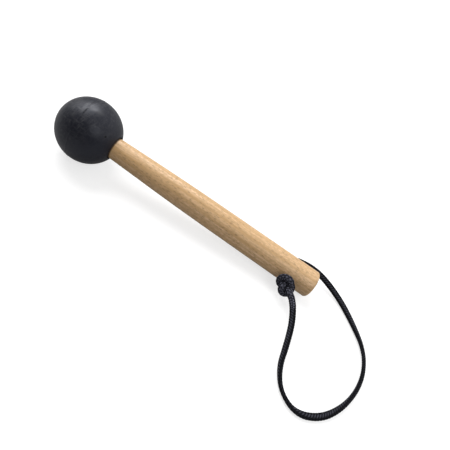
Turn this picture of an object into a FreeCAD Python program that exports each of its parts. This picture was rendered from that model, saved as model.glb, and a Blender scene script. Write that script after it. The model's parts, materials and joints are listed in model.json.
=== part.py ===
import FreeCAD, Part
import math
import os

from FreeCAD import Placement, Rotation, Vector

# Hand-held bass drum beater: a rubber ball on a turned handle with a knotted wrist loop.
# Sizes are in millimetres and angles in degrees. The beater lies on a table at z = 0, its
# ball towards -X and its butt towards +X, with the origin under the middle of its length.

# Ball head
BALL_DIAMETER = 65.0
BALL_MOUTH_ROUNDING = 1.2
SOCKET_DEPTH = 36.0
SEAM_WIDTH = 1.6
SEAM_HEIGHT = 0.15
SEAM_OFFSET = 3.2

# Turned handle, lengths along its axis
HANDLE_REACH = 270.1
NECK_DIAMETER = 22.3
SHOULDER_DIAMETER = 27.1
SHOULDER_REACH = 115.0
SHOULDER_BLEND = 42.0
BUTT_DIAMETER = 29.1
BUTT_ROUNDING = 2.5
TENON_CHAMFER = 1.5
GLUE_LINE = 0.1

# Cross hole for the cord, measured from the butt face
HOLE_FROM_BUTT = 25.6
HOLE_DIAMETER = 6.6
HOLE_EASING = 1.0

# Wrist cord
CORD_DIAMETER = 4.6
TABLE_GAP = 0.1
KNOT_START_DEPTH = 1.6
HOLE_STEP = 9.3
HOLE_BOW = 0.15

# Free part of the cord: plan offsets from the hole's centre and the lift of the cord
# above where it would lie on the table, from the back mouth round the loop to the knot
CORD_ROUTE = [
    (0.5, 16.7, 13.55),
    (6.4, 20.6, 12.9),
    (18.0, 23.4, 11.3),
    (32.75, 23.25, 8.2),
    (49.5, 19.5, 4.2),
    (68.0, 10.25, 0.9),
    (85.75, -7.25, 0.05),
    (100.5, -26.5, 0.0),
    (104.25, -50.5, 0.0),
    (99.75, -75.0, 0.0),
    (87.5, -99.0, 0.0),
    (71.0, -116.25, 0.0),
    (50.0, -124.0, 0.0),
    (31.5, -114.25, 0.0),
    (24.0, -94.5, 0.0),
    (24.25, -72.25, 0.3),
    (22.25, -52.5, 2.7),
    (19.5, -42.25, 4.7),
    (16.0, -33.2, 6.6),
]

# Overhand knot: an opened three-lobed ring, round an axis that leans up from level
KNOT_RING_RADIUS = 6.8
KNOT_LOBE = 2.85
KNOT_DEPTH = 4.15
KNOT_DRIFT = 1.4
KNOT_STANDOFF = 7.4
KNOT_SHIFT = 0.65
KNOT_RISE = 3.0
KNOT_LEAN = 35.5
KNOT_TURN = -45.5
KNOT_FIRST_PHASE = 65.5
KNOT_LAST_PHASE = 312.0
KNOT_STEPS = 20

# Hand-placed ends of the tied stretch, along the knot's own right, down and front axes
KNOT_ENTRY = [(-0.75, -1.25, -4.5), (-2.15, -1.6, -2.0)]
KNOT_EXIT = [(4.15, 4.65, 6.05), (8.5, 6.95, 6.8)]
# Where the tied stretch ends, between its last point and the cord's
KNOT_END_SHARE = 0.45

# Each bend uses this part of its shorter run on either side
BEND_SHARE = 0.45
# Places along a bend, as parts of its turn, where the cord is measured
MEASURE_SHARES = (0.0, 0.25, 0.5, 0.75, 1.0)
CUT_OVERRUN = 5.0

BALL_RADIUS = BALL_DIAMETER / 2
NECK_RADIUS = NECK_DIAMETER / 2
SHOULDER_RADIUS = SHOULDER_DIAMETER / 2
BUTT_RADIUS = BUTT_DIAMETER / 2
CORD_RADIUS = CORD_DIAMETER / 2
X_AXIS = Vector(1, 0, 0)
Y_AXIS = Vector(0, 1, 0)


def bend(before, corner, after, reach):
    """Tangent arc that rounds a corner: its start, middle, end and radius."""
    back = (before - corner).normalize()
    ahead = (after - corner).normalize()
    half_turn = (math.pi - back.getAngle(ahead)) / 2
    radius = reach / math.tan(half_turn)
    inward = (back + ahead).normalize()
    start = corner + back * reach
    end = corner + ahead * reach
    middle = corner + inward * (radius / math.cos(half_turn) - radius)
    return start, middle, end, radius


def rounded_path(points):
    """Straight runs through the points, joined by the largest even tangent arcs."""
    edges = []
    radii = []
    samples = [points[0]]
    here = points[0]
    for before, corner, after in zip(points, points[1:], points[2:]):
        reach = BEND_SHARE * min((corner - before).Length, (after - corner).Length)
        start, middle, end, radius = bend(before, corner, after, reach)
        edges.append(Part.LineSegment(here, start).toShape())
        arc = Part.Arc(start, middle, end)
        edges.append(arc.toShape())
        span = arc.LastParameter - arc.FirstParameter
        samples += [arc.value(arc.FirstParameter + share * span) for share in MEASURE_SHARES]
        radii.append(radius)
        here = end
    edges.append(Part.LineSegment(here, points[-1]).toShape())
    samples.append(points[-1])
    return Part.Wire(edges), radii, samples


def tube(points, name):
    """Round tube along a rounded path, with its radii and its volume printed."""
    path, radii, samples = rounded_path(points)
    heading = points[1] - points[0]
    section = Part.Wire([Part.Circle(points[0], heading, CORD_RADIUS).toShape()])
    solid = path.makePipeShell([section], True, False)
    expected = math.pi * CORD_RADIUS ** 2 * path.Length
    print(name, "radii", [round(radius, 1) for radius in radii])
    print(name, "length", round(path.Length, 1), "volume", round(solid.Volume / expected, 4))
    return solid, samples


def least_gap(samples, apart):
    """Least distance between surfaces of stretches that are further apart along the cord."""
    along = [0.0]
    for one, two in zip(samples, samples[1:]):
        along.append(along[-1] + (two - one).Length)
    gaps = [
        (two - one).Length - CORD_DIAMETER
        for one, place in zip(samples, along)
        for two, other in zip(samples, along)
        if other - place > apart
    ]
    return min(gaps)


def revolved(edges):
    """Solid turned about the handle's axis from a closed half profile."""
    face = Part.Face(Part.Wire(Part.__sortEdges__(edges)))
    return face.revolve(Vector(0, 0, 0), X_AXIS, 360)


def line(start, end):
    return Part.LineSegment(start, end).toShape()


def arc(start, middle, end):
    return Part.Arc(start, middle, end).toShape()


def on_ball(axial):
    """Point of the ball's half outline at a place along the axis."""
    return Vector(axial, math.sqrt(BALL_RADIUS ** 2 - axial ** 2), 0)


# Where the handle enters the ball
socket_radius = NECK_RADIUS + GLUE_LINE
mouth_reach = math.sqrt(BALL_RADIUS ** 2 - socket_radius ** 2)
socket_floor = mouth_reach - SOCKET_DEPTH

# How the handle widens from its shoulder to its butt
taper = (BUTT_RADIUS - SHOULDER_RADIUS) / (HANDLE_REACH - SHOULDER_REACH)

# The handle leans so that the ball and the butt's lower edge both lie on the table
rise = BALL_RADIUS - BUTT_ROUNDING
edge_reach = HANDLE_REACH - BUTT_ROUNDING
edge_drop = BUTT_RADIUS - BUTT_ROUNDING * (taper + math.hypot(1, taper))
lean = math.asin(rise / math.hypot(edge_reach, edge_drop)) - math.atan2(edge_drop, edge_reach)
butt_end = edge_reach * math.cos(lean) + edge_drop * math.sin(lean) + BUTT_ROUNDING
middle_x = (butt_end - BALL_RADIUS) / 2
lying = Placement(Vector(-middle_x, 0, BALL_RADIUS), Rotation(Y_AXIS, math.degrees(lean)))


def ball_head():
    """Ball with a low moulding seam and a blind socket whose mouth is rounded."""
    seam_start = on_ball(-SEAM_OFFSET - SEAM_WIDTH / 2)
    seam_end = on_ball(-SEAM_OFFSET + SEAM_WIDTH / 2)
    seam_top = on_ball(-SEAM_OFFSET) * (1 + SEAM_HEIGHT / BALL_RADIUS)
    far_pole = Vector(-BALL_RADIUS, 0, 0)
    far_middle = on_ball((far_pole.x + seam_start.x) / 2)
    # Rounded mouth: a small circle that touches the ball inside and the socket's wall
    inner = BALL_RADIUS - BALL_MOUTH_ROUNDING
    lip_y = socket_radius + BALL_MOUTH_ROUNDING
    lip = Vector(math.sqrt(inner ** 2 - lip_y ** 2), lip_y, 0)
    outward = Vector(lip).normalize()
    lip_start = outward * BALL_RADIUS
    lip_end = Vector(lip.x, socket_radius, 0)
    lip_middle = lip + (outward - Y_AXIS).normalize() * BALL_MOUTH_ROUNDING
    near_middle = on_ball((seam_end.x + lip_start.x) / 2)
    floor_edge = Vector(socket_floor, socket_radius, 0)
    floor_centre = Vector(socket_floor, 0, 0)
    return revolved([
        arc(far_pole, far_middle, seam_start),
        arc(seam_start, seam_top, seam_end),
        arc(seam_end, near_middle, lip_start),
        arc(lip_start, lip_middle, lip_end),
        line(lip_end, floor_edge),
        line(floor_edge, floor_centre),
        line(floor_centre, far_pole),
    ])


def handle():
    """Turned handle: straight tenon, two tapers that run together, rounded butt, cross hole."""
    tip = Vector(socket_floor, 0, 0)
    tip_edge = Vector(socket_floor, NECK_RADIUS - TENON_CHAMFER, 0)
    tenon_start = Vector(socket_floor + TENON_CHAMFER, NECK_RADIUS, 0)
    neck = Vector(mouth_reach, NECK_RADIUS, 0)
    shoulder = Vector(SHOULDER_REACH, SHOULDER_RADIUS, 0)
    butt_edge = Vector(HANDLE_REACH, BUTT_RADIUS, 0)
    butt = Vector(HANDLE_REACH, 0, 0)
    blend_start = shoulder + (neck - shoulder).normalize() * SHOULDER_BLEND
    blend_end = shoulder + (butt_edge - shoulder).normalize() * SHOULDER_BLEND
    blend = Part.BezierCurve()
    blend.setPoles([blend_start, shoulder, blend_end])
    edge_turn = (shoulder - butt_edge).getAngle(butt - butt_edge)
    edge_set = BUTT_ROUNDING / math.tan(edge_turn / 2)
    round_start, round_middle, round_end, round_radius = bend(
        shoulder, butt_edge, butt, edge_set)
    blank = revolved([
        line(tip, tip_edge),
        line(tip_edge, tenon_start),
        line(tenon_start, neck),
        line(neck, blend_start),
        blend.toShape(),
        line(blend_end, round_start),
        arc(round_start, round_middle, round_end),
        line(round_end, butt),
        line(butt, tip),
    ])
    half_depth = BUTT_RADIUS + CUT_OVERRUN
    drill = Part.makeCylinder(
        HOLE_DIAMETER / 2, 2 * half_depth, Vector(hole_reach, -half_depth, 0), Y_AXIS)
    drilled = blank.cut(drill)
    mouths = [
        edge for edge in drilled.Edges
        if abs(edge.BoundBox.Center.x - hole_reach) < HOLE_DIAMETER / 2
        and edge.BoundBox.XLength < HOLE_DIAMETER + HOLE_EASING
        and edge.BoundBox.YLength < HOLE_DIAMETER / 2
    ]
    return drilled.makeFillet(HOLE_EASING, mouths)


# Cross hole: its place on the lying handle and the handle's radius there
hole_reach = HANDLE_REACH - HOLE_FROM_BUTT
hole_handle_radius = BUTT_RADIUS - taper * HOLE_FROM_BUTT
hole_centre = lying.multVec(Vector(hole_reach, 0, 0))

# Axes and centre of the knot
knot_lean = math.radians(KNOT_LEAN)
knot_right = X_AXIS
knot_down = Vector(0, -math.sin(knot_lean), -math.cos(knot_lean))
knot_front = Vector(0, -math.cos(knot_lean), math.sin(knot_lean))
knot_centre = hole_centre + Vector(KNOT_SHIFT, -hole_handle_radius - KNOT_STANDOFF, KNOT_RISE)


def in_knot(right, down, front):
    return knot_centre + knot_right * right + knot_down * down + knot_front * front


def knot_ring(phase):
    """Point of the three-lobed ring: it goes round twice while it weaves three times.

    The ring drifts from the back to the front, so that the cord leaves over the first lobe.
    """
    angle = math.radians(phase)
    around = math.radians(KNOT_TURN) - 2 * angle
    radius = KNOT_RING_RADIUS + KNOT_LOBE * math.cos(3 * angle)
    half_way = (KNOT_FIRST_PHASE + KNOT_LAST_PHASE) / 2
    drift = KNOT_DRIFT * (phase - half_way) / (KNOT_LAST_PHASE - KNOT_FIRST_PHASE)
    front = drift - KNOT_DEPTH * math.sin(3 * angle)
    return in_knot(radius * math.cos(around), radius * math.sin(around), front)


knot_start = hole_centre - Y_AXIS * (hole_handle_radius - KNOT_START_DEPTH)
knot_mouth = hole_centre - Y_AXIS * (hole_handle_radius + HOLE_EASING)
phase_step = (KNOT_LAST_PHASE - KNOT_FIRST_PHASE) / KNOT_STEPS
knot_points = [knot_start, knot_mouth]
knot_points += [in_knot(*place) for place in KNOT_ENTRY]
knot_points += [knot_ring(KNOT_FIRST_PHASE + step * phase_step) for step in range(KNOT_STEPS + 1)]
knot_points += [in_knot(*place) for place in KNOT_EXIT]

table_height = CORD_RADIUS + TABLE_GAP
cord_points = [
    knot_start,
    knot_start + Y_AXIS * HOLE_STEP,
    knot_start + Y_AXIS * 2 * HOLE_STEP + Vector(HOLE_BOW, 0, -HOLE_BOW),
]
cord_points += [
    Vector(hole_centre.x + along, hole_centre.y + across, table_height + lift)
    for along, across, lift in CORD_ROUTE
]
# The knot's last run and the cord's last run lie in one line
cord_end = knot_points[-1] + (cord_points[-1] - knot_points[-1]) * KNOT_END_SHARE
knot_points.append(cord_end)
cord_points.append(cord_end)

wrist_cord, cord_samples = tube(cord_points, "wrist_cord")
knot, knot_samples = tube(knot_points, "knot")
print("knot least gap", round(least_gap(knot_samples, 2 * CORD_DIAMETER), 2))

os.makedirs("parts", exist_ok=True)
for name, shape in (
    ("ball_head", ball_head()),
    ("handle", handle()),
):
    shape.Placement = lying.multiply(shape.Placement)
    shape.exportStep("parts/" + name + ".step")
    print(name, shape.isValid(), round(shape.Volume), shape.BoundBox)
for name, shape in (
    ("wrist_cord", wrist_cord),
    ("knot", knot),
):
    shape.exportStep("parts/" + name + ".step")
    print(name, shape.isValid(), round(shape.Volume), shape.BoundBox)
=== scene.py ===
"""Looks of a hand-held bass drum beater: rubber ball, beech handle and braided wrist cord."""

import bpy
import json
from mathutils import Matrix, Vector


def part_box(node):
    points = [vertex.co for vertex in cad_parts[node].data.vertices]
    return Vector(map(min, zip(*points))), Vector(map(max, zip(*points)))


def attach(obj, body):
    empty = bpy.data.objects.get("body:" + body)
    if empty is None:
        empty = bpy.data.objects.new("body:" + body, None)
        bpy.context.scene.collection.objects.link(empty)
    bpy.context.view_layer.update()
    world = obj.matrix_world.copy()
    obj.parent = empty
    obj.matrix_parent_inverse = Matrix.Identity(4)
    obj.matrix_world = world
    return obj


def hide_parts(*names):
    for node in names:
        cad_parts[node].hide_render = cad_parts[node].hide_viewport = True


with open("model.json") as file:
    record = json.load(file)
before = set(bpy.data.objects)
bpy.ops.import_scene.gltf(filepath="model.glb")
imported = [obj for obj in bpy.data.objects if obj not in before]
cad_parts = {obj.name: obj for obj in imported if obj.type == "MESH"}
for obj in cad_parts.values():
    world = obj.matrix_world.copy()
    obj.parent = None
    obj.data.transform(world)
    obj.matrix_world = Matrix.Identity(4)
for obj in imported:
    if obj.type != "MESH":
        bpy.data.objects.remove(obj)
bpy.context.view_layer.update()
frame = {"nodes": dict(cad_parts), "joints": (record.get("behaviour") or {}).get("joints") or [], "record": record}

import json
import math

import bpy
import numpy as np
from mathutils import Matrix, Vector

bl_info = {
    "name": "Bass Drum Beater",
    "version": (1, 0, 0),
    "blender": (4, 5, 0),
    "location": "3D View > Sidebar > Beater",
    "description": "Dresses a bass drum beater: rubber ball, beech handle and knotted wrist cord",
    "category": "Object",
}

WHITE = (1.0, 1.0, 1.0)

# Places read from the frame
JOINT = next(joint for joint in frame["joints"] if joint["name"] == "loop_swing")
HOLE_CENTRE = np.array(JOINT["pos_m"], dtype=float)
BUTT = next(mount for mount in frame["record"]["mounts"] if mount["name"] == "butt_face")
HANDLE_LEAN = math.asin(-BUTT["axis"][2])
BALL_LOW, BALL_HIGH = (np.array(corner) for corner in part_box("ball_head"))
BALL_RADIUS = (BALL_HIGH[1] - BALL_LOW[1]) / 2
BALL_CENTRE = np.array([BALL_LOW[0] + BALL_RADIUS, 0.0, BALL_LOW[2] + BALL_RADIUS])

# Ball's rounded mouth in metres: the handle's radius in it, the span outside that radius over which its rim of
# painted shade fades, and where it ends along the handle
NECK_RADIUS = 0.01115
RIM_SPAN = (0.0006, 0.0026)
MOUTH_REACH = 0.0303

# Marks in the ball's skin, a nick beside the handle, two scratches, and a pale rub on top that paints in a band of
# the highlight: the direction from the ball's centre, the way a mark runs and its half size along, across and into
# the skin
NICK = ((0.746, -0.413, 0.522), (0.848, 0.375, 0.375), (0.0023, 0.0011, 0.0011))
SCRATCHES = (
    ((-0.039, -0.378, 0.925), (-0.010, 0.926, 0.378), (0.0062, 0.0008, 0.0020)),
    ((-0.069, 0.027, 0.997), (-0.042, 0.999, -0.030), (0.0066, 0.0004, 0.0020)),
)
HIGHLIGHT_RUB = ((0.228, -0.145, 0.963), (0.956, 0.288, -0.059), (0.0105, 0.0043, 0.0040))

# Strength of the scratches and of the painted highlight rub, and the nick's depth against a pit's
SCRATCH_STRENGTH = 0.6
HIGHLIGHT_RUB_STRENGTH = 0.85
NICK_DEPTH = 2.5

# Two sets of scuffs on the ball, each with its turn and the noise from which it shows, the
# noise at which a scuff is full, and the size of that noise's grain along and across a scuff
SCUFFS = (((0.0, -0.06, -0.06), 0.48), ((0.0, -0.40, 1.335), 0.46))
SCUFF_FULL = 0.74
SCUFF_GRAIN = (0.0140, 0.0022, 0.0022)

# Direction from the ball's centre in which it is scuffed most, which is where its highlight falls, so that the
# scuffs' pale colour there is partly a painted highlight, and the span that way, in radii of the ball, over which
# the scuffs grow
SCUFFED_HIGHLIGHT_TOWARD = (-0.2, -0.2, 0.96)
SCUFFED_HIGHLIGHT_SPAN = (0.2, 0.9)

# Rubber: the bloom's strength in the patches, the colour of the painted shade in the mouth and of the nick and
# scratches, what patches, these places and scuffs add to the roughness, and the heights of pits and scuffs against
# the grain's
BLOOM_STRENGTH = 0.35
MOUTH_SHADE_AND_MARK_BLACK = (0.001, 0.001, 0.001)
PATCH_SATIN = (-0.03, 0.06)
DULL_ROUGHER = 0.4
SCUFF_ROUGHER = -0.14
PIT_HEIGHT = -6.0
SCUFF_HEIGHT = 1.5

# Middle of the growth rings across the handle, from its axis, and how far the rings waver, in
# radians of their wave
RING_HEART = (0.0, 0.035, -0.055)
RING_WAVER = 9.0

# Wood: the shift of the broad streaks in their noise, what patches add to the roughness, and
# the fine grain's height against the thin streaks'
BROAD_SHIFT = 7.3
PATCH_LACQUER = (-0.05, 0.07)
WOOD_GRAIN_HEIGHT = 0.35

# Painted shade on the handle at the ball's mouth, where the joint lies in shade: its colour and the length over
# which it fades
JOINT_SHADE = (0.02, 0.014, 0.01)
JOINT_SHADE_FADE = 0.0012

# Route of the free cord in metres: plan offsets from the hole's centre and the height of the
# cord's middle over the table, from the knot round the loop to the back mouth of the hole
CORD_ROUTE = (
    (0.0160, -0.0332, 0.0090),
    (0.0195, -0.04225, 0.0071),
    (0.02225, -0.0525, 0.0051),
    (0.02425, -0.07225, 0.0027),
    (0.0240, -0.0945, 0.0024),
    (0.0315, -0.11425, 0.0024),
    (0.0500, -0.1240, 0.0024),
    (0.0710, -0.11625, 0.0024),
    (0.0875, -0.0990, 0.0024),
    (0.09975, -0.0750, 0.0024),
    (0.10425, -0.0505, 0.0024),
    (0.1005, -0.0265, 0.0024),
    (0.08575, -0.00725, 0.00245),
    (0.0680, 0.01025, 0.0033),
    (0.0495, 0.0195, 0.0066),
    (0.03275, 0.02325, 0.0106),
    (0.0180, 0.0229, 0.0129),
    (0.0064, 0.0198, 0.0143),
    (0.0005, 0.0167, 0.01595),
)

# The cord's two ends in the hole and the hole's front mouth, from the hole's centre, in metres
FRONT_END = ((0.0, -0.01278, 0.0), (0.0, -0.01538, 0.0))
BACK_END = ((0.00015, 0.00582, -0.00015), (0.0, -0.00348, 0.0), (0.0, -0.0118, 0.0))

# Middle of the knot from the hole's centre, and the ends of the tied stretch along the knot's
# right, down and front axes, in metres
KNOT_MIDDLE = (0.00065, -0.02178, 0.0030)
KNOT_ENTRY = ((-0.00075, -0.00125, -0.0045), (-0.00215, -0.0016, -0.0020))
KNOT_EXIT = ((0.00415, 0.00465, 0.00605), (0.0085, 0.00695, 0.0068))

# The knot's ring: its first and last phase and its turn in degrees, and its control points
RING_PHASES = (65.5, 312.0)
RING_TURN = -45.5
RING_POINTS = 21

# Turn of the cord's flat side, in degrees, at shares of its free length
TWIST_SHARES = (0.0, 0.03, 0.06, 0.10, 0.15, 0.20, 0.23, 0.255, 0.275, 0.30, 0.33,
                0.36, 0.40, 0.46, 0.53, 0.58, 0.635, 0.69, 0.75, 0.81, 0.87)
TWIST_TURNS = (-50.0, -45.0, -46.0, -51.0, -56.0, -78.0, -104.0, -124.0, -141.0, -165.0, -178.0,
               -175.0, -141.0, -102.0, -80.0, -49.0, -16.0, 7.0, 25.0, 39.0, 49.0)

# Stretches of the cord in metres, each with the length over which it fades: the tied one from a length after the
# cord's start to one past the knot's last point, those in the hole at the cord's start and end, and the rubbed
# one, where painted light lifts the shade round the knot, to a length past the knot's last point
KNOT_AFTER, KNOT_AFTER_FADE = 0.007, 0.005
KNOT_PAST, KNOT_PAST_FADE = 0.004, 0.006
HOLE_START, HOLE_LAST, HOLE_FADE = 0.008, 0.032, 0.005
RUBBED_LIT_PAST, RUBBED_LIT_FADE = 0.017, 0.010

# Wear and painted highlight of the yarn in the middle of the flat sides, what rubbing and painted light just past
# the knot add to it, and the part of that spared in the knot
CROWN_WEAR_AND_HIGHLIGHT = 0.175
RUBBED_WEAR_AND_LIGHT = 0.245
SPARED_SHARE = 0.55

# Height in the section, from 0 at its edges to 1 in the middle of its flat sides, over which the wear and painted
# highlight grow, and the shares of it below and above, so that the narrow edges are left darker as painted shade
FACE_SPAN = (0.48, 0.9)
FACE_SHARES = (0.3, 1.0)

# Power of the cord's oval section, which is squarer than an ellipse below 1
OVAL_POWER = 0.85

# Height of the braid that lies on the oval, and how steeply a strand's crown falls
OVAL_LEVEL = 0.6
CROWN_FALL = 1.9

# Strands that a strand passes from one side of its column to the other, its filaments, and
# the fine grain's height against theirs
STRAND_SLANT = 1.5
FILAMENTS = 5
YARN_GRAIN_HEIGHT = 0.5

# Step under which two points of the cord's line count as one
DOUBLED_STEP = 1e-8

# Least height of the cord over the table
TABLE_GAP = 0.0001

# Table: half its side, the strength of its patches, and the distances from the origin over
# which its glow grows
TABLE_HALF = 6.0
TABLE_PATCHES = 0.02
GLOW_SPAN = (0.3, 2.5)
GLOW = (0.70, 1.0)

# Part of the white surroundings that shows in reflections
MIRRORED_SHARE = 0.15

# Brightest side of the surroundings, the span towards it over which they brighten, and their
# strength off it and in it against the ambient strength
BRIGHT_SIDE = (0.66, 0.51, 0.55)
BRIGHT_SPAN = (0.2, 0.95)
DIM, BRIGHT = 0.4, 3.6

# Lamps: direction from the ball's centre and distance, the place that all of them point at,
# and the sizes of the two small ones
SOFTBOX = ((-0.421, 0.397, 0.816), 3.0)
SIDE = ((-0.85, 0.32, 0.42), 1.6)
FILL = ((0.604, -0.434, 0.669), 0.75)
LAMP_TARGET = (0.02, -0.02, 0.02)
SIDE_SIZE = 0.9
FILL_SIZE = 0.35

# Camera: its place, the directions of its picture's right and up and of its back, its sensor's
# width in millimetres and its clipping distances
CAMERA_PLACE = (0.043395, -0.290654, 0.311887)
CAMERA_RIGHT = (0.84778, 0.37502, 0.37501)
CAMERA_UP = (-0.53035, 0.59947, 0.59947)
CAMERA_BACK = (0.0, -0.70711, 0.70711)
SENSOR_WIDTH = 36.0
CLIP_START, CLIP_END = 0.01, 50.0


class BallSettings(bpy.types.PropertyGroup):
    """Finish of the moulded rubber ball."""

    rubber: bpy.props.FloatVectorProperty(
        name="Rubber", description="Colour of the clean rubber",
        subtype="COLOR", size=3, min=0, max=1, default=(0.0034, 0.0040, 0.0098))
    bloom: bpy.props.FloatVectorProperty(
        name="Bloom", description="Colour of the dusty bloom on the rubber",
        subtype="COLOR", size=3, min=0, max=1, default=(0.012, 0.0125, 0.018))
    # Pale colour of the scuffs, partly the rubber's own scuffing and partly a painted highlight on the ball's top
    scuff_and_highlight: bpy.props.FloatVectorProperty(
        name="Scuff", description="Colour of the rubbed streaks",
        subtype="COLOR", size=3, min=0, max=1, default=(0.046, 0.0462, 0.051))
    satin: bpy.props.FloatProperty(
        name="Satin", description="Roughness of the moulded skin",
        subtype="FACTOR", min=0, max=1, default=0.44)


class HandleSettings(bpy.types.PropertyGroup):
    """Finish of the turned beech handle."""

    pale: bpy.props.FloatVectorProperty(
        name="Pale wood", description="Colour of the early wood",
        subtype="COLOR", size=3, min=0, max=1, default=(0.768, 0.530, 0.324))
    warm: bpy.props.FloatVectorProperty(
        name="Warm wood", description="Colour of the late wood streaks",
        subtype="COLOR", size=3, min=0, max=1, default=(0.53, 0.325, 0.145))
    mottle: bpy.props.FloatVectorProperty(
        name="Mottle", description="Colour of the short mottle",
        subtype="COLOR", size=3, min=0, max=1, default=(0.48, 0.305, 0.148))
    fleck: bpy.props.FloatVectorProperty(
        name="Fleck", description="Colour of the small ray flecks",
        subtype="COLOR", size=3, min=0, max=1, default=(0.20, 0.110, 0.050))
    rings: bpy.props.FloatProperty(
        name="Growth rings", description="Distance from one growth ring to the next",
        unit="LENGTH", min=0.0005, max=0.02, default=0.0024)
    lacquer: bpy.props.FloatProperty(
        name="Lacquer", description="Roughness of the thin lacquer",
        subtype="FACTOR", min=0, max=1, default=0.42)


class CordSettings(bpy.types.PropertyGroup):
    """Sizes and finish of the braided wrist cord and its knot."""

    width: bpy.props.FloatProperty(
        name="Width", description="Width of the flat braid",
        unit="LENGTH", min=0.002, max=0.02, default=0.0062)
    thickness: bpy.props.FloatProperty(
        name="Thickness", description="Thickness of the flat braid",
        unit="LENGTH", min=0.002, max=0.02, default=0.0035)
    knot_width: bpy.props.FloatProperty(
        name="Knot strand", description="Width of the strand where it is drawn into the knot",
        unit="LENGTH", min=0.002, max=0.02, default=0.0064)
    knot_thickness: bpy.props.FloatProperty(
        name="Knot strand thickness", description="Thickness of the strand in the knot",
        unit="LENGTH", min=0.002, max=0.02, default=0.0045)
    bored: bpy.props.FloatProperty(
        name="Strand in the hole",
        description="Size of the strand where it is squeezed in the hole",
        unit="LENGTH", min=0.002, max=0.02, default=0.0048)
    pick: bpy.props.FloatProperty(
        name="Pick", description="Length along the cord from one strand to the next",
        unit="LENGTH", min=0.0005, max=0.02, default=0.0028)
    columns: bpy.props.IntProperty(
        name="Columns", description="Columns of slanted strands round the cord, a multiple of four",
        min=4, max=16, step=4, default=4)
    relief: bpy.props.FloatProperty(
        name="Relief", description="Height of the strands over the gaps between them",
        unit="LENGTH", min=0, max=0.002, default=0.0005)
    ring_radius: bpy.props.FloatProperty(
        name="Knot ring", description="Middle radius of the knot's three-lobed ring",
        unit="LENGTH", min=0.001, max=0.05, default=0.0064)
    lobe: bpy.props.FloatProperty(
        name="Knot lobe", description="How far the lobes swing in and out",
        unit="LENGTH", min=0, max=0.05, default=0.0033)
    depth: bpy.props.FloatProperty(
        name="Knot depth", description="How far the ring weaves to the front and back",
        unit="LENGTH", min=0, max=0.05, default=0.00415)
    drift: bpy.props.FloatProperty(
        name="Knot drift", description="How far the ring comes forward from its start to its end",
        unit="LENGTH", min=0, max=0.05, default=0.0014)
    lean: bpy.props.FloatProperty(
        name="Knot lean", description="How far the knot's front leans up",
        subtype="ANGLE", default=math.radians(35.5))
    black: bpy.props.FloatVectorProperty(
        name="Yarn", description="Colour of the yarn",
        subtype="COLOR", size=3, min=0, max=1, default=(0.0014, 0.0016, 0.0030))
    # Colour of the painted highlight and wear on the crowns, and of the painted light in the knot and just past it
    worn_and_lit: bpy.props.FloatVectorProperty(
        name="Worn yarn", description="Colour of the yarn on the crowns of the braid",
        subtype="COLOR", size=3, min=0, max=1, default=(0.380, 0.386, 0.500))


class StageSettings(bpy.types.PropertyGroup):
    """Table, lamps and camera."""

    table: bpy.props.FloatVectorProperty(
        name="Table", description="Colour of the table",
        subtype="COLOR", size=3, min=0, max=1, default=(0.38, 0.38, 0.38))
    ambient: bpy.props.FloatProperty(
        name="Ambient", description="Strength of the white surroundings",
        min=0, max=5, default=0.31)
    softbox: bpy.props.FloatProperty(
        name="Softbox", description="Power of the large lamp behind the ball",
        unit="POWER", min=0, max=1000, default=95.0)
    softbox_width: bpy.props.FloatProperty(
        name="Softbox width", description="Width of the large lamp",
        unit="LENGTH", min=0.01, max=5, default=2.66)
    softbox_height: bpy.props.FloatProperty(
        name="Softbox height", description="Height of the large lamp",
        unit="LENGTH", min=0.01, max=5, default=1.70)
    side: bpy.props.FloatProperty(
        name="Side", description="Power of the faint lamp at the ball's side",
        unit="POWER", min=0, max=1000, default=4.0)
    fill: bpy.props.FloatProperty(
        name="Fill", description="Power of the lamp beside the camera",
        unit="POWER", min=0, max=1000, default=0.9)
    lens: bpy.props.FloatProperty(
        name="Lens", description="Focal length of the camera",
        unit="CAMERA", min=1, max=500, default=32.72)


def add(tree, kind, settings=(), **inputs):
    """Adds a shader node, sets its properties and fills or links its inputs by name."""
    node = tree.nodes.new("ShaderNode" + kind)
    for name, value in dict(settings).items():
        setattr(node, name, value)
    for name, value in inputs.items():
        fill(tree, node.inputs[name.replace("_", " ")], value)
    return node


def fill(tree, socket, value):
    """Links a socket to another one, or sets its own value."""
    if isinstance(value, bpy.types.NodeSocket):
        tree.links.new(value, socket)
    else:
        socket.default_value = value


def calc(tree, operation, *values):
    """Math node on up to three values or sockets."""
    node = add(tree, "Math", {"operation": operation})
    for socket, value in zip(node.inputs, values):
        fill(tree, socket, value)
    return node.outputs[0]


def measure(tree, operation, *vectors):
    """Vector Math node that gives one value, such as a length or a dot product."""
    node = add(tree, "VectorMath", {"operation": operation})
    for socket, value in zip(node.inputs, vectors):
        fill(tree, socket, value)
    return node.outputs["Value"]


def diagonal(tree, first, second):
    """Length of the diagonal over two sides."""
    squares = calc(tree, "ADD", calc(tree, "POWER", first, 2.0), calc(tree, "POWER", second, 2.0))
    return calc(tree, "SQRT", squares)


def centred(tree, value):
    """Place of a value between two whole numbers, from -0.5 to 0.5."""
    return calc(tree, "SUBTRACT", calc(tree, "FRACT", value), 0.5)


def spread(tree, value, span, onto=(0.0, 1.0)):
    """Maps a value from one span onto another and holds it there."""
    node = add(tree, "MapRange", Value=value, From_Min=span[0], From_Max=span[1],
               To_Min=onto[0], To_Max=onto[1])
    return node.outputs["Result"]


def opaque(colour):
    """Colour with full alpha."""
    return (*colour, 1.0)


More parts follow.
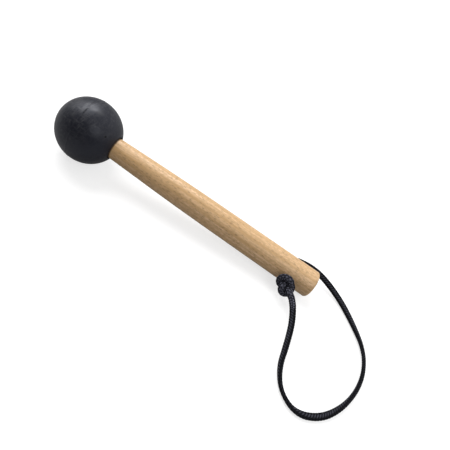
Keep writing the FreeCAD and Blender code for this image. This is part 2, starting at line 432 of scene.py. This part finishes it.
def layered(tree, ground, *layers):
    """Ground colour with layers over it, each of them a mask and a colour."""
    shown = opaque(ground)
    for mask, colour in layers:
        node = add(tree, "Mix", {"data_type": "RGBA"})
        # Numbers of the Mix node's factor and of its two colours among all its inputs
        for number, value in ((0, mask), (6, shown), (7, opaque(colour))):
            fill(tree, node.inputs[number], value)
        # The third output is the colour
        shown = node.outputs[2]
    return shown


def roughen(tree, shader, height, strength, distance):
    """Bumps a shader's normal by a height."""
    bump = add(tree, "Bump", Strength=strength, Distance=distance, Height=height)
    fill(tree, shader.inputs["Normal"], bump.outputs[0])


def new_finish(name):
    """Empty material with a Principled shader; gives the material, its tree and the shader."""
    material = bpy.data.materials.new(name)
    material.use_nodes = True
    tree = material.node_tree
    tree.nodes.clear()
    output = add(tree, "OutputMaterial")
    shader = add(tree, "BsdfPrincipled")
    tree.links.new(shader.outputs[0], output.inputs[0])
    return material, tree, shader


def new_group(name, inputs, outputs):
    """Shader group with a vector and named values; gives its tree, its source and its sink."""
    tree = bpy.data.node_groups.new(name, "ShaderNodeTree")
    tree.interface.new_socket("Vector", in_out="INPUT", socket_type="NodeSocketVector")
    for label in inputs:
        tree.interface.new_socket(label, in_out="INPUT", socket_type="NodeSocketFloat")
    for label in outputs:
        tree.interface.new_socket(label, in_out="OUTPUT", socket_type="NodeSocketFloat")
    source = tree.nodes.new("NodeGroupInput").outputs
    sink = tree.nodes.new("NodeGroupOutput").inputs
    return tree, source, sink


def handling_group():
    """Shader group of the soft patches and fine grain that handling leaves on a surface."""
    if "Handling" in bpy.data.node_groups:
        return bpy.data.node_groups["Handling"]
    tree, source, sink = new_group("Handling", ("Patch", "Grain"), ("Patches", "Fine"))
    patch = add(tree, "TexNoise", Vector=source["Vector"], Scale=source["Patch"], Detail=4.0,
                Roughness=0.55)
    fine = add(tree, "TexNoise", Vector=source["Vector"], Scale=source["Grain"], Detail=2.0,
               Roughness=0.5)
    tree.links.new(spread(tree, patch.outputs[0], (0.32, 0.68)), sink["Patches"])
    tree.links.new(fine.outputs[0], sink["Fine"])
    return tree


def handling(tree, vector, patch, grain):
    """Places the handling group in a material with its own scales; gives patches and grain."""
    node = add(tree, "Group", {"node_tree": handling_group()}, Vector=vector, Patch=patch,
               Grain=grain)
    return node.outputs["Patches"], node.outputs["Fine"]


def spots_group():
    """Shader group of spots round scattered points, each of which fades from its core to its rim.

    Each point has a random number. Its spot is left out under the low one and whole over the
    high one.
    """
    if "Spots" in bpy.data.node_groups:
        return bpy.data.node_groups["Spots"]
    values = ("Scale", "Core", "Rim", "Strength", "Low", "High")
    tree, source, sink = new_group("Spots", values, ("Mask",))
    points = add(tree, "TexVoronoi", {"feature": "F1"}, Vector=source["Vector"],
                 Scale=source["Scale"], Randomness=1.0)
    spot = spread(tree, points.outputs["Distance"], (source["Core"], source["Rim"]),
                  (source["Strength"], 0.0))
    number = add(tree, "SeparateColor", Color=points.outputs["Color"]).outputs[0]
    chosen = spread(tree, number, (source["Low"], source["High"]))
    tree.links.new(calc(tree, "MULTIPLY", spot, chosen), sink["Mask"])
    return tree


def spots(tree, vector, scale, span, strength, chosen):
    """Places the spots group in a material with its own values; gives the mask."""
    node = add(tree, "Group", {"node_tree": spots_group()}, Vector=vector, Scale=scale,
               Core=span[0], Rim=span[1], Strength=strength, Low=chosen[0], High=chosen[1])
    return node.outputs["Mask"]


def along_handle(tree, place):
    """Coordinates from the ball's centre, with the first one along the handle."""
    return add(tree, "Mapping", {"vector_type": "TEXTURE"}, Vector=place,
               Location=tuple(BALL_CENTRE), Rotation=(0.0, HANDLE_LEAN, 0.0)).outputs[0]


def ball_mark(tree, place, toward, run, half_size, core=0.5):
    """Mask of an oval mark in the ball's skin: 1 in its core and 0 from its rim."""
    oval = add(tree, "Mapping", {"vector_type": "TEXTURE"}, Vector=place, Scale=half_size,
               Location=tuple(BALL_CENTRE + BALL_RADIUS * np.array(toward)),
               Rotation=tuple(Vector(run).to_track_quat("X", "Z").to_euler()))
    return spread(tree, measure(tree, "LENGTH", oval.outputs[0]), (core, 1.0), (1.0, 0.0))


def ball_scuffs(tree, place, turn, shown_from):
    """Mask of one set of scuffs: the high parts of a noise that is long one way."""
    slanted = add(tree, "Mapping", {"vector_type": "TEXTURE"}, Vector=place, Rotation=turn,
                  Scale=SCUFF_GRAIN)
    noise = add(tree, "TexNoise", Vector=slanted.outputs[0], Scale=1.0, Detail=3.0, Roughness=0.6)
    return spread(tree, noise.outputs[0], (shown_from, SCUFF_FULL))


def rubber_finish(settings):
    """Black moulded rubber: satin skin, a faint bloom in patches and specks, a few moulding pits, scuffs on its
    top whose pale colour is partly a painted highlight, a pale band there that is a painted highlight, painted
    shade in the mouth round the handle, a nick and two scratches.
    """
    material, tree, shader = new_finish("black_rubber")
    place = add(tree, "TexCoord").outputs["Object"]
    patches, fine = handling(tree, place, patch=55.0, grain=1500.0)
    bloom = calc(tree, "MULTIPLY", patches, BLOOM_STRENGTH)
    specks = spread(tree, fine, (0.45, 0.72), (0.0, 0.55))

    nick = ball_mark(tree, place, *NICK)
    scratch = calc(tree, "MAXIMUM", *(ball_mark(tree, place, *each) for each in SCRATCHES))
    scratch = calc(tree, "MULTIPLY", scratch, SCRATCH_STRENGTH)
    # Pale rub that paints in a band of the highlight
    highlight_rub = calc(tree, "MULTIPLY", ball_mark(tree, place, *HIGHLIGHT_RUB, core=0.1), HIGHLIGHT_RUB_STRENGTH)
    pit = spots(tree, place, scale=95.0, span=(0.035, 0.09), strength=1.0, chosen=(0.86, 0.88))
    pit = calc(tree, "MAXIMUM", pit, calc(tree, "MULTIPLY", nick, NICK_DEPTH))

    # Scuffs, strongest where the highlight falls on the top, and the painted highlight rub; their pale colour is
    # partly a painted highlight
    scuff_and_highlight = calc(tree, "MAXIMUM", *(ball_scuffs(tree, place, *each) for each in SCUFFS))
    scuff_and_highlight = calc(tree, "MULTIPLY", scuff_and_highlight, spread(tree, patches, (0.1, 0.8), (0.3, 1.0)))
    span = np.dot(BALL_CENTRE, SCUFFED_HIGHLIGHT_TOWARD) + BALL_RADIUS * np.array(SCUFFED_HIGHLIGHT_SPAN)
    top = spread(tree, measure(tree, "DOT_PRODUCT", place, SCUFFED_HIGHLIGHT_TOWARD), span, (0.1, 1.0))
    scuff_and_highlight = calc(tree, "MAXIMUM", calc(tree, "MULTIPLY", scuff_and_highlight, top), highlight_rub)

    axial = add(tree, "SeparateXYZ", Vector=along_handle(tree, place)).outputs
    rim = spread(tree, diagonal(tree, axial[1], axial[2]), NECK_RADIUS + np.array(RIM_SPAN),
                 (1.0, 0.0))
    mouth = calc(tree, "MULTIPLY", calc(tree, "GREATER_THAN", axial[0], 0.0), rim)
    # Painted shade in the mouth round the handle, together with the real nick and scratches
    mouth_shade_and_marks = calc(tree, "MAXIMUM", mouth, calc(tree, "MAXIMUM", nick, scratch))

    base = layered(tree, settings.rubber, (bloom, settings.bloom), (specks, settings.bloom),
                   (scuff_and_highlight, settings.scuff_and_highlight), (mouth_shade_and_marks, MOUTH_SHADE_AND_MARK_BLACK))
    fill(tree, shader.inputs["Base Color"], base)
    rough = spread(tree, patches, (0.0, 1.0), settings.satin + np.array(PATCH_SATIN))
    rough = calc(tree, "MULTIPLY_ADD", scuff_and_highlight, SCUFF_ROUGHER, rough)
    rough = calc(tree, "MULTIPLY_ADD", mouth_shade_and_marks, DULL_ROUGHER, rough)
    fill(tree, shader.inputs["Roughness"], rough)
    height = calc(tree, "MULTIPLY_ADD", scuff_and_highlight, SCUFF_HEIGHT, fine)
    height = calc(tree, "MULTIPLY_ADD", pit, PIT_HEIGHT, height)
    roughen(tree, shader, height, strength=0.16, distance=0.0002)
    shader.inputs["Specular IOR Level"].default_value = 0.345
    shader.inputs["Specular Tint"].default_value = (0.88, 0.91, 1.0, 1.0)
    return material


def beech_finish(settings):
    """Lacquered beech: growth rings round a heart beside the handle, long fine streaks along it, a short mottle,
    ray flecks and a line of painted shade at the ball.
    """
    material, tree, shader = new_finish("lacquered_beech")
    along = along_handle(tree, add(tree, "TexCoord").outputs["Object"])
    patches, fine = handling(tree, along, patch=40.0, grain=900.0)

    def scaled(lengthwise, crosswise, shift=0.0):
        """Coordinates with a scale along the handle and another one across it."""
        return add(tree, "Mapping", Vector=along, Location=(shift, shift, shift),
                   Scale=(lengthwise, crosswise, crosswise)).outputs[0]

    def streaks(lengthwise, crosswise, detail=3.0, shift=0.0):
        """Noise with a scale along the handle and another one across it."""
        return add(tree, "TexNoise", Vector=scaled(lengthwise, crosswise, shift), Scale=1.0,
                   Detail=detail, Roughness=0.6).outputs[0]

    broad = streaks(3.0, 150.0, shift=BROAD_SHIFT)
    thin = streaks(14.0, 620.0)
    waver = calc(tree, "MULTIPLY", streaks(6.0, 60.0, detail=2.0), RING_WAVER)
    from_heart = measure(tree, "DISTANCE", scaled(0.0, 1.0), RING_HEART)
    rings = calc(tree, "MULTIPLY_ADD", from_heart, 2 * math.pi / settings.rings, waver)
    mottle = streaks(260.0, 640.0)
    fleck = spots(tree, scaled(190.0, 800.0), scale=1.0, span=(0.14, 0.38), strength=0.57,
                  chosen=(0.25, 0.40))
    reach = add(tree, "SeparateXYZ", Vector=along).outputs[0]

    base = layered(
        tree, settings.pale,
        (spread(tree, broad, (0.36, 0.66)), settings.warm),
        (spread(tree, thin, (0.46, 0.66), (0.0, 0.8)), settings.warm),
        (spread(tree, calc(tree, "SINE", rings), (-0.2, 1.0), (0.0, 0.45)), settings.warm),
        (spread(tree, mottle, (0.42, 0.60), (0.0, 0.74)), settings.mottle),
        (fleck, settings.fleck),
        # Painted shade: a dark line on the wood at the ball's mouth
        (spread(tree, reach, (MOUTH_REACH, MOUTH_REACH + JOINT_SHADE_FADE), (0.9, 0.0)), JOINT_SHADE))
    fill(tree, shader.inputs["Base Color"], base)
    rough = spread(tree, patches, (0.0, 1.0), settings.lacquer + np.array(PATCH_LACQUER))
    fill(tree, shader.inputs["Roughness"], rough)
    height = calc(tree, "MULTIPLY_ADD", fine, WOOD_GRAIN_HEIGHT, thin)
    roughen(tree, shader, height, strength=0.18, distance=0.00015)
    shader.inputs["Specular IOR Level"].default_value = 0.4
    return material


def cord_finish(settings):
    """Black braided yarn: crowns lightened by painted highlight and some abrasion, fine filaments along each
    strand, and light spots of painted highlight where the painted light is strongest.

    The map counts columns round the cord in u and strands along it in v. In each column the
    filaments follow the slanted strand, as its height does. The spots stand one to a strand in
    rows half a column apart, and every other row is moved by half a strand.
    """
    material, tree, shader = new_finish("black_braid")
    crown = add(tree, "Attribute", {"attribute_name": "crown"}).outputs["Fac"]
    wear_and_highlight = add(tree, "Attribute", {"attribute_name": "wear_and_highlight"}).outputs["Fac"]
    braid = add(tree, "UVMap", {"uv_map": "Braid"}).outputs[0]
    around, along = add(tree, "SeparateXYZ", Vector=braid).outputs[:2]
    patches, fine = handling(tree, add(tree, "TexCoord").outputs["Object"], patch=120.0,
                             grain=2600.0)

    odd_column = calc(tree, "FLOORED_MODULO", calc(tree, "FLOOR", around), 2.0)
    slant = calc(tree, "MULTIPLY_ADD", odd_column, -2.0, 1.0)
    within = calc(tree, "MULTIPLY", slant, centred(tree, around))
    strand = calc(tree, "MULTIPLY_ADD", within, STRAND_SLANT, along)
    filament = calc(tree, "SINE", calc(tree, "MULTIPLY", strand, 2 * math.pi * FILAMENTS))
    filament = spread(tree, filament, (-1.0, 1.0))
    # Painted highlight on the crowns, with some wear, following the filaments
    light = calc(tree, "MULTIPLY", spread(tree, crown, (0.68, 0.98)),
                 spread(tree, filament, (0.0, 1.0), (0.5, 1.0)))
    light = calc(tree, "MULTIPLY", light, spread(tree, patches, (0.0, 1.0), (0.5, 1.0)))

    # Painted highlight spots, one to a strand, in the knot and just past it
    rows = calc(tree, "MULTIPLY", around, 2.0)
    odd_row = calc(tree, "FLOORED_MODULO", calc(tree, "FLOOR", rows), 2.0)
    moved = calc(tree, "MULTIPLY_ADD", odd_row, 0.5, along)
    off_spot = diagonal(tree, centred(tree, rows), centred(tree, moved))
    spot = calc(tree, "MULTIPLY", spread(tree, off_spot, (0.12, 0.36), (1.0, 0.0)),
                spread(tree, wear_and_highlight, (0.235, 0.40), (0.0, 0.9)))

    # Painted light that lifts the shade in the knot and just past it, then the painted highlight on the crowns,
    # then the spots
    base = layered(tree, settings.black,
                   (spread(tree, wear_and_highlight, (0.21, 0.42), (0.0, 0.05)), settings.worn_and_lit),
                   (calc(tree, "MULTIPLY", light, wear_and_highlight), settings.worn_and_lit),
                   (spot, settings.worn_and_lit))
    fill(tree, shader.inputs["Base Color"], base)
    fill(tree, shader.inputs["Roughness"], spread(tree, crown, (0.0, 1.0), (0.9, 0.55)))
    height = calc(tree, "MULTIPLY_ADD", fine, YARN_GRAIN_HEIGHT, filament)
    roughen(tree, shader, height, strength=0.6, distance=0.0002)
    shader.inputs["Specular IOR Level"].default_value = 0.10
    return material


def knot_axes(settings):
    """Right, down and front axes of the knot."""
    sine, cosine = math.sin(settings.lean), math.cos(settings.lean)
    return np.array([[1.0, 0.0, 0.0], [0.0, -sine, -cosine], [0.0, -cosine, sine]])


def cord_control_points(settings):
    """Control points of the whole cord, through the hole's front, the knot, the loop and back,
    and the point at which it leaves the knot.

    The tied stretch is an opened three-lobed ring. As the phase runs, the ring turns twice,
    its radius swings three times and it weaves three times to the front and back. It comes
    forward on the way, so that the cord leaves over the first lobe.
    """
    phase = np.radians(np.linspace(*RING_PHASES, RING_POINTS))
    around = math.radians(RING_TURN) - 2 * phase
    radius = settings.ring_radius + settings.lobe * np.cos(3 * phase)
    forward = settings.drift * np.linspace(-0.5, 0.5, RING_POINTS)
    front = forward - settings.depth * np.sin(3 * phase)
    ring = np.stack([radius * np.cos(around), radius * np.sin(around), front], axis=1)
    tied = np.vstack([KNOT_ENTRY, ring, KNOT_EXIT]) @ knot_axes(settings)
    tied = HOLE_CENTRE + np.array(KNOT_MIDDLE) + tied
    free = np.array(CORD_ROUTE) + HOLE_CENTRE * (1.0, 1.0, 0.0)
    points = np.vstack([HOLE_CENTRE + FRONT_END, tied, free, HOLE_CENTRE + BACK_END])
    return points, tied[-1]


def lengths_along(line):
    """Length along a line of points from its start to each point."""
    steps = np.linalg.norm(np.diff(line, axis=0), axis=1)
    return np.concatenate([[0.0], np.cumsum(steps)])


def smooth_line(points, spacing):
    """Points at an even spacing along the NURBS spline that has the given control points, and
    their lengths along it.
    """
    curve = bpy.data.curves.new("cord_line", "CURVE")
    curve.dimensions = "3D"
    curve.resolution_u = 32
    spline = curve.splines.new("NURBS")
    spline.points.add(len(points) - 1)
    weighted = np.hstack([points, np.ones((len(points), 1))])
    spline.points.foreach_set("co", weighted.ravel())
    spline.order_u = 3
    spline.use_endpoint_u = True
    holder = bpy.data.objects.new("cord_line", curve)
    bpy.context.scene.collection.objects.link(holder)
    mesh = bpy.data.meshes.new_from_object(holder)
    line = np.empty(len(mesh.vertices) * 3)
    mesh.vertices.foreach_get("co", line)
    line = line.reshape(-1, 3)
    bpy.data.objects.remove(holder)
    bpy.data.curves.remove(curve)
    bpy.data.meshes.remove(mesh)
    steps = np.linalg.norm(np.diff(line, axis=0), axis=1)
    line = line[np.concatenate([[True], steps > DOUBLED_STEP])]
    along = lengths_along(line)
    even = np.linspace(0.0, along[-1], int(along[-1] / spacing) + 1)
    return np.stack([np.interp(even, along, line[:, axis]) for axis in range(3)], axis=1), even


def eased(values, reach):
    """Running mean of each column over a reach of rows to both sides, with its ends held."""
    padded = np.pad(values, ((reach, reach), (0, 0)), mode="edge")
    sums = np.cumsum(np.vstack([np.zeros((1, values.shape[1])), padded]), axis=0)
    return (sums[2 * reach + 1:] - sums[:-2 * reach - 1]) / (2 * reach + 1)


def smooth_step(values):
    """Column of values held between 0 and 1, with a soft start and end."""
    held = np.clip(values, 0, 1)
    return (held * held * (3 - 2 * held))[:, None]


def unit(vectors):
    """Vectors brought to a length of 1."""
    return vectors / np.linalg.norm(vectors, axis=-1, keepdims=True)


def squarer(wave):
    """Wave raised to the power of the oval section, with its sign kept."""
    return np.sign(wave) * np.abs(wave) ** OVAL_POWER


def braid_height(columns, picks):
    """Height of the braid from 0 to 1 at counts of columns round it and strands along it.

    The strands slant one way in one column and the other way in the next. Each has a rounded
    crown across it, and dips under its neighbours at both sides of its column.
    """
    within = columns - np.floor(columns) - 0.5
    slant = 1 - 2 * (np.floor(columns) % 2)
    strand = picks + STRAND_SLANT * slant * within
    across = strand - np.floor(strand) - 0.5
    crown = np.sqrt(np.clip(1 - (CROWN_FALL * across) ** 2, 0, 1))
    return crown * (0.5 + 0.5 * np.cos(np.pi * within))


def cord_surface(settings, around_count=44, spacing=0.00025):
    """Braided oval tube along the cord's smooth line: its rings of points, the braid's height and the yarn's
    abrasion and painted light at them, and its middle line.

    At each place along the line stands an oval of the local width and thickness, turned by the local twist. The
    braid's height is added outwards, and a ring that would dip under the table is lifted onto it. The yarn is
    lighter in the middle of the flat sides, partly abrasion and partly painted highlight, with the narrow edges
    left darker as painted shade, and lighter still all round in the knot and just past it, where painted light
    lifts the shade of the handle and knot.
    """
    points, knot_end = cord_control_points(settings)
    line, along = smooth_line(points, spacing)
    tangent = unit(eased(np.gradient(line, axis=0), reach=2))
    leaving = along[np.argmin(np.linalg.norm(line - knot_end, axis=1))]
    free = np.clip((along - leaving) / (along[-1] - leaving), 0, 1)
    tied = smooth_step(np.clip((leaving + KNOT_PAST - along) / KNOT_PAST_FADE, 0, 1)
                       * np.clip((along - KNOT_AFTER) / KNOT_AFTER_FADE, 0, 1))
    hole = smooth_step(np.maximum(HOLE_START - along, along - along[-1] + HOLE_LAST) / HOLE_FADE)

    upright = unit(np.array([0.0, 0.0, 1.0]) * (1 - tied) + knot_axes(settings)[2] * tied)
    side = unit(eased(np.cross(tangent, upright), reach=4))
    above = np.cross(side, tangent)
    twist = np.interp(free, TWIST_SHARES, np.radians(TWIST_TURNS))[:, None]
    twist = eased(twist, reach=30) * (1 - tied)
    wide = np.cos(twist) * side + np.sin(twist) * above
    flat = -np.sin(twist) * side + np.cos(twist) * above

    def half(plain, knotted):
        """Half the plain size, changed to the knotted one in the knot and squeezed in the hole."""
        return (plain + (knotted - plain) * tied + (settings.bored - plain) * hole) / 2

    turn = np.linspace(0, 2 * np.pi, around_count, endpoint=False)
    columns = turn[None, :] / (2 * np.pi) * settings.columns + 0.5
    crown = braid_height(columns, along[:, None] / settings.pick)
    bulge = settings.relief * (crown - OVAL_LEVEL)
    across = (half(settings.width, settings.knot_width) + bulge) * squarer(np.cos(turn))
    over = (half(settings.thickness, settings.knot_thickness) + bulge) * squarer(np.sin(turn))
    rings = (line[:, None, :] + across[..., None] * wide[:, None, :]
             + over[..., None] * flat[:, None, :])

    # Stretch up to just past the knot that is made lighter, partly by rubbing and partly as painted light that
    # lifts the shade of the handle and knot
    rubbed_and_lit = np.clip((leaving + RUBBED_LIT_PAST - along) / RUBBED_LIT_FADE, 0, 1)[:, None]
    # Painted highlight with some wear in the middle of the flat sides; the narrow edges are left darker as painted
    # shade
    face = np.interp(np.abs(np.sin(turn)), FACE_SPAN, FACE_SHARES)
    wear_and_highlight = CROWN_WEAR_AND_HIGHLIGHT + RUBBED_WEAR_AND_LIGHT * rubbed_and_lit * (1 - SPARED_SHARE * tied)
    wear_and_highlight = (face + (1 - face) * tied) * wear_and_highlight

    sunk = np.clip(TABLE_GAP - rings[..., 2].min(axis=1), 0, None)
    lift = eased(sunk[:, None], reach=6)
    rings[..., 2] += lift
    line = line + np.hstack([np.zeros((len(line), 2)), lift])
    return rings, crown, wear_and_highlight, line


def tube_mesh(name, rings, crown, wear_and_highlight, line, settings):
    """Closed mesh of rings of points, with its braid map, its crown heights and its abrasion and painted light."""
    count, sides = rings.shape[:2]
    row = np.arange(count - 1)[:, None] * sides
    column = np.arange(sides)[None, :]
    following = (column + 1) % sides
    quads = np.stack([row + column, row + following, row + sides + following,
                      row + sides + column], axis=-1).reshape(-1, 4)
    first, last = count * sides, count * sides + 1
    edge = (count - 1) * sides
    caps = np.concatenate([
        np.stack([following[0], column[0], np.full(sides, first)], axis=-1),
        np.stack([edge + column[0], edge + following[0], np.full(sides, last)], axis=-1)])
    points = np.vstack([rings.reshape(-1, 3), line[:1], line[-1:]])
    mesh = bpy.data.meshes.new(name)
    mesh.from_pydata(points.tolist(), [], quads.tolist() + caps.tolist())

    lane = np.arange(sides + 1) / sides * settings.columns + 0.5
    pick = lengths_along(line) / settings.pick
    grid_pick, grid_lane = np.indices((count - 1, sides))
    corners = ((0, 0), (1, 0), (1, 1), (0, 1))
    quad_map = np.stack([np.stack([lane[grid_lane + right], pick[grid_pick + ahead]], axis=-1)
                         for right, ahead in corners], axis=2)
    cap_map = np.zeros((caps.size, 2))
    layer = mesh.uv_layers.new(name="Braid")
    layer.uv.foreach_set("vector", np.vstack([quad_map.reshape(-1, 2), cap_map]).ravel())
    for label, values in (("crown", crown), ("wear_and_highlight", wear_and_highlight)):
        layer = mesh.attributes.new(label, "FLOAT", "POINT")
        layer.data.foreach_set("value", np.concatenate([values.ravel(), [0.0, 0.0]]))
    mesh.shade_smooth()
    mesh.validate()
    return mesh


def link_piece(name, mesh, material):
    """Object at the origin for a finished mesh."""
    mesh.materials.append(material)
    piece = bpy.data.objects.new(name, mesh)
    bpy.context.scene.collection.objects.link(piece)
    return piece


def dress_node(name, material):
    """Gives a node of the frame its finish."""
    node = frame["nodes"][name]
    node.data.materials.clear()
    node.data.materials.append(material)


class BEATER_OT_stage(bpy.types.Operator):
    """Set the table, the lamps and the camera"""

    bl_idname = "beater.stage"
    bl_label = "Set the stage"

    def execute(self, context):
        settings = context.scene.beater_stage
        self.table(settings)
        self.surroundings(settings)
        self.lamp("softbox", *SOFTBOX, settings.softbox, settings.softbox_width,
                  settings.softbox_height)
        self.lamp("side", *SIDE, settings.side, SIDE_SIZE, SIDE_SIZE)
        self.lamp("fill", *FILL, settings.fill, FILL_SIZE, FILL_SIZE)
        self.camera(settings)
        return {"FINISHED"}

    def table(self, settings):
        """Wide white table that glows for the camera, a little less near the beater."""
        half = TABLE_HALF
        mesh = bpy.data.meshes.new("table")
        corners = [(-half, -half, 0), (half, -half, 0), (half, half, 0), (-half, half, 0)]
        mesh.from_pydata(corners, [], [(0, 1, 2, 3)])
        material, tree, shader = new_finish("white_table")
        place = add(tree, "TexCoord").outputs["Object"]
        patches = handling(tree, place, patch=1.5, grain=400.0)[0]
        paler = calc(tree, "MULTIPLY", patches, TABLE_PATCHES)
        shade = layered(tree, settings.table, (paler, WHITE))
        fill(tree, shader.inputs["Base Color"], shade)
        shader.inputs["Roughness"].default_value = 0.9
        shader.inputs["Specular IOR Level"].default_value = 0.0
        shader.inputs["Emission Color"].default_value = opaque(WHITE)
        glow = spread(tree, measure(tree, "LENGTH", place), GLOW_SPAN, GLOW)
        glow = calc(tree, "MULTIPLY", self.seen(tree), glow)
        fill(tree, shader.inputs["Emission Strength"], glow)
        table = link_piece("table", mesh, material)

    def seen(self, tree):
        """White for the camera and through glass, and a share of white in reflections."""
        path = add(tree, "LightPath").outputs
        mirrored = calc(tree, "MULTIPLY", path["Is Glossy Ray"], MIRRORED_SHARE)
        straight = calc(tree, "MAXIMUM", path["Is Camera Ray"], path["Is Transmission Ray"])
        return calc(tree, "MAXIMUM", straight, mirrored)

    def surroundings(self, settings):
        """White surroundings that light the beater more from one side."""
        world = bpy.data.worlds.new("white_room")
        bpy.context.scene.world = world
        world.use_nodes = True
        tree = world.node_tree
        tree.nodes.clear()
        heading = add(tree, "TexCoord").outputs["Generated"]
        soft = spread(tree, measure(tree, "DOT_PRODUCT", heading, BRIGHT_SIDE), BRIGHT_SPAN,
                      (DIM * settings.ambient, BRIGHT * settings.ambient))
        strength = calc(tree, "MAXIMUM", soft, self.seen(tree))
        glow = add(tree, "Background", Color=opaque(WHITE), Strength=strength)
        output = add(tree, "OutputWorld")
        tree.links.new(glow.outputs[0], output.inputs[0])

    def lamp(self, name, toward, distance, power, width, height):
        """Oval lamp at a distance from the ball."""
        data = bpy.data.lights.new(name, "AREA")
        data.energy = power
        data.shape = "ELLIPSE"
        data.size = width
        data.size_y = height
        lamp = bpy.data.objects.new(name, data)
        lamp.location = Vector(BALL_CENTRE) + Vector(toward) * distance
        lamp.rotation_mode = "QUATERNION"
        pointing = Vector(LAMP_TARGET) - lamp.location
        lamp.rotation_quaternion = pointing.to_track_quat("-Z", "Y")
        bpy.context.scene.collection.objects.link(lamp)

    def camera(self, settings):
        """Camera that looks down on the beater."""
        data = bpy.data.cameras.new("camera")
        data.lens = settings.lens
        data.sensor_width = SENSOR_WIDTH
        data.clip_start = CLIP_START
        data.clip_end = CLIP_END
        camera = bpy.data.objects.new("camera", data)
        turn = Matrix((CAMERA_RIGHT, CAMERA_UP, CAMERA_BACK)).transposed().to_4x4()
        camera.matrix_world = Matrix.Translation(CAMERA_PLACE) @ turn
        bpy.context.scene.collection.objects.link(camera)
        bpy.context.scene.camera = camera


class BEATER_OT_cord(bpy.types.Operator):
    """Lay the braided wrist cord with its overhand knot"""

    bl_idname = "beater.cord"
    bl_label = "Lay the wrist cord"

    def execute(self, context):
        settings = context.scene.beater_cord
        if settings.columns % 4:
            raise ValueError("the braid needs a multiple of four columns")
        rings, crown, wear_and_highlight, line = cord_surface(settings)
        mesh = tube_mesh("braided_wrist_cord", rings, crown, wear_and_highlight, line, settings)
        piece = link_piece("braided_wrist_cord", mesh, cord_finish(settings))
        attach(piece, "wrist_loop")
        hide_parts("wrist_cord", "knot")
        return {"FINISHED"}


class BEATER_OT_ball(bpy.types.Operator):
    """Finish the rubber ball"""

    bl_idname = "beater.ball"
    bl_label = "Finish the ball"

    def execute(self, context):
        dress_node("ball_head", rubber_finish(context.scene.beater_ball))
        return {"FINISHED"}


class BEATER_OT_handle(bpy.types.Operator):
    """Finish the beech handle"""

    bl_idname = "beater.handle"
    bl_label = "Finish the handle"

    def execute(self, context):
        dress_node("handle", beech_finish(context.scene.beater_handle))
        return {"FINISHED"}


class BEATER_PT_panel(bpy.types.Panel):
    """Sizes, finishes and steps of the beater"""

    bl_idname = "BEATER_PT_panel"
    bl_label = "Bass Drum Beater"
    bl_space_type = "VIEW_3D"
    bl_region_type = "UI"
    bl_category = "Beater"

    def draw(self, context):
        for step, group in STEPS:
            box = self.layout.box()
            box.operator("beater." + step)
            for key in group.__annotations__:
                box.prop(getattr(context.scene, "beater_" + step), key)


# Each step's name and its settings
STEPS = (
    ("stage", StageSettings),
    ("cord", CordSettings),
    ("ball", BallSettings),
    ("handle", HandleSettings),
)
CLASSES = (BEATER_OT_stage, BEATER_OT_cord, BEATER_OT_ball, BEATER_OT_handle, BEATER_PT_panel)


def register():
    """Adds the settings, the steps and the panel."""
    for step, group in STEPS:
        bpy.utils.register_class(group)
        setattr(bpy.types.Scene, "beater_" + step, bpy.props.PointerProperty(type=group))
    for item in CLASSES:
        bpy.utils.register_class(item)


def unregister():
    """Takes the panel, the steps and the settings away."""
    for item in reversed(CLASSES):
        bpy.utils.unregister_class(item)
    for step, group in reversed(STEPS):
        delattr(bpy.types.Scene, "beater_" + step)
        bpy.utils.unregister_class(group)


def main():
    """Runs all the steps on a plain view transform."""
    register()
    bpy.context.scene.view_settings.view_transform = "Standard"
    bpy.ops.beater.stage()
    bpy.ops.beater.cord()
    bpy.ops.beater.ball()
    bpy.ops.beater.handle()
    bpy.context.view_layer.update()


if __name__ == "__main__":
    main()
